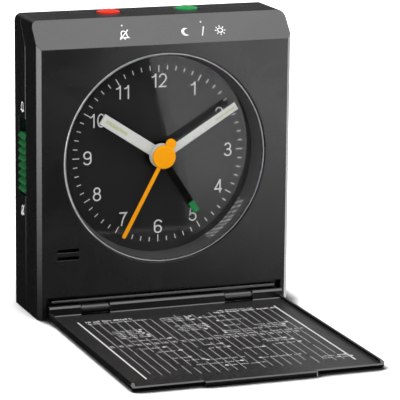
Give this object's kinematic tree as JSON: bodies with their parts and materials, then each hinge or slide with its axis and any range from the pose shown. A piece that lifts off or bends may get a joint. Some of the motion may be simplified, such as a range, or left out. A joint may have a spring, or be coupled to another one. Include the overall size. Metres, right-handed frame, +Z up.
{
  "type": "alarm clock",
  "caption": "Folding travel alarm clock with a round dial, a fold-down front cover, push buttons on top, a side slider and setting knobs at the back.",
  "frame": {"origin": "centre of the body's underside, on the table", "axes": "+X to the reader's right, +Y from the dial to the back, +Z up"},
  "size_m": [0.0763, 0.1004, 0.0856],
  "materials": {
    "case_black": "fine moulded grain",
    "cover_black": "fine moulded grain",
    "lens_clear": "polished clear plastic",
    "funnel_black": "satin",
    "window_frost": "frosted, pale grey",
    "dial_black": "matt",
    "hand_white": "satin off-white",
    "glow_insert": "pale luminous",
    "second_yellow": "satin yellow",
    "alarm_black": "gloss black",
    "alarm_green": "satin green",
    "button_red": "gloss red",
    "button_green": "gloss green",
    "slider_green": "satin green",
    "dome_rubber": "grey silicone",
    "steel": "plated",
    "contact_brass": "plated spring brass",
    "copper_wire": "enamelled copper winding",
    "wheel_white": "natural moulded",
    "plate_black": "moulded",
    "magnet_grey": "sintered magnet and plastic arbor",
    "board_green": "solder mask",
    "chip_black": "epoxy",
    "battery_sleeve": "printed sleeve",
    "lamp_white": "clear white",
    "knob_black": "moulded",
    "buzzer_black": "blackened"
  },
  "bodies": {
    "case": {"front_shell": "case_black", "rear_shell": "case_black", "case_screws": "steel", "lens": "lens_clear", "dial_funnel": "funnel_black", "light_window": "window_frost", "dial": "dial_black", "hinge_bar": "case_black", "hinge_pins": "steel", "off_dome": "dome_rubber", "snooze_dome": "dome_rubber", "switch_board": "board_green", "battery": "battery_sleeve", "battery_contacts": "contact_brass", "movement_front_plate": "plate_black", "movement_rear_plate": "plate_black", "plate_screws": "steel", "hanger_screws": "steel", "stator": "steel", "coil": "copper_wire", "circuit_board": "board_green", "board_chip": "chip_black", "crystal": "steel", "lamp": "lamp_white", "buzzer": "buzzer_black", "buzzer_holder": "plate_black"},
    "cover": {"cover": "cover_black"},
    "off_button": {"off_button": "button_red"},
    "snooze_button": {"snooze_button": "button_green"},
    "alarm_slider": {"alarm_slider": "slider_green", "slider_contact": "contact_brass"},
    "battery_door": {"battery_door": "case_black"},
    "second_wheel": {"second_wheel": "wheel_white", "second_hand": "second_yellow"},
    "step_wheel": {"step_wheel": "wheel_white"},
    "rotor": {"rotor": "magnet_grey"},
    "third_wheel": {"third_wheel": "wheel_white"},
    "centre_wheel": {"centre_wheel": "wheel_white"},
    "minute_wheel": {"cannon_pinion": "contact_brass", "minute_hand": "hand_white", "minute_insert": "glow_insert"},
    "motion_wheel": {"motion_wheel": "wheel_white"},
    "hour_wheel": {"hour_wheel": "wheel_white", "hour_hand": "hand_white", "hour_insert": "glow_insert"},
    "time_knob": {"time_knob": "knob_black"},
    "alarm_wheel": {"alarm_wheel": "wheel_white", "alarm_hand": "alarm_black", "alarm_tip": "alarm_green"},
    "alarm_idler": {"alarm_idler": "wheel_white"},
    "alarm_knob": {"alarm_knob": "knob_black"}
  },
  "joints": [
    {"name": "cover_hinge", "type": "hinge", "parent": "case", "child": "cover", "pos_m": [0, -0.0129, 0.00275], "axis": [-1, 0, 0], "range_deg": [0, 90]},
    {"name": "off_press", "type": "slide", "parent": "case", "child": "off_button", "axis": [0, 0, -1], "range_m": [0, 0.001], "stiffness_N_per_m": 250, "springref_m": -0.0006, "deforming": ["off_dome"]},
    {"name": "snooze_press", "type": "slide", "parent": "case", "child": "snooze_button", "axis": [0, 0, -1], "range_m": [0, 0.001], "stiffness_N_per_m": 250, "springref_m": -0.0006, "deforming": ["snooze_dome"]},
    {"name": "alarm_switch", "type": "slide", "parent": "case", "child": "alarm_slider", "axis": [0, 0, 1], "range_m": [0, 0.0041]},
    {"name": "battery_door_off", "type": "slide", "parent": "case", "child": "battery_door", "axis": [0, 1, 0], "range_m": [0, 0.03]},
    {"name": "second_turn", "type": "hinge", "parent": "case", "child": "second_wheel", "pos_m": [0, 0, 0.0447], "axis": [0, 1, 0], "continuous": true},
    {"name": "step_turn", "type": "hinge", "parent": "case", "child": "step_wheel", "pos_m": [0.0075, 0, 0.0447], "axis": [0, 1, 0], "continuous": true},
    {"name": "rotor_turn", "type": "hinge", "parent": "case", "child": "rotor", "pos_m": [0.01235, 0, 0.0475], "axis": [0, 1, 0], "continuous": true},
    {"name": "third_turn", "type": "hinge", "parent": "case", "child": "third_wheel", "pos_m": [-0.00425, 0, 0.05206], "axis": [0, 1, 0], "continuous": true},
    {"name": "centre_turn", "type": "hinge", "parent": "case", "child": "centre_wheel", "pos_m": [0, 0, 0.0447], "axis": [0, 1, 0], "continuous": true},
    {"name": "minute_turn", "type": "hinge", "parent": "case", "child": "minute_wheel", "pos_m": [0, 0, 0.0447], "axis": [0, 1, 0], "continuous": true},
    {"name": "motion_turn", "type": "hinge", "parent": "case", "child": "motion_wheel", "pos_m": [0.0067, 0, 0.04207], "axis": [0, 1, 0], "continuous": true},
    {"name": "hour_turn", "type": "hinge", "parent": "case", "child": "hour_wheel", "pos_m": [0, 0, 0.0447], "axis": [0, 1, 0], "continuous": true},
    {"name": "time_knob_turn", "type": "hinge", "parent": "case", "child": "time_knob", "pos_m": [0.0115, 0, 0.0367], "axis": [0, 1, 0], "continuous": true},
    {"name": "alarm_turn", "type": "hinge", "parent": "case", "child": "alarm_wheel", "pos_m": [0, 0, 0.0447], "axis": [0, 1, 0], "continuous": true},
    {"name": "idler_turn", "type": "hinge", "parent": "case", "child": "alarm_idler", "pos_m": [-0.01034, 0, 0.04289], "axis": [0, 1, 0], "continuous": true},
    {"name": "alarm_knob_turn", "type": "hinge", "parent": "case", "child": "alarm_knob", "pos_m": [-0.0115, 0, 0.0367], "axis": [0, 1, 0], "continuous": true}
  ],
  "couplings": [
    {"joint": "step_turn", "follows": "second_turn", "ratio": -5},
    {"joint": "rotor_turn", "follows": "second_turn", "ratio": 30},
    {"joint": "third_turn", "follows": "second_turn", "ratio": -0.13333},
    {"joint": "centre_turn", "follows": "second_turn", "ratio": 0.016667},
    {"joint": "motion_turn", "follows": "minute_turn", "ratio": -0.33333},
    {"joint": "hour_turn", "follows": "minute_turn", "ratio": 0.083333},
    {"joint": "time_knob_turn", "follows": "minute_turn", "ratio": 1},
    {"joint": "idler_turn", "follows": "alarm_turn", "ratio": -1.3333},
    {"joint": "alarm_knob_turn", "follows": "alarm_turn", "ratio": 3.3333}
  ]
}
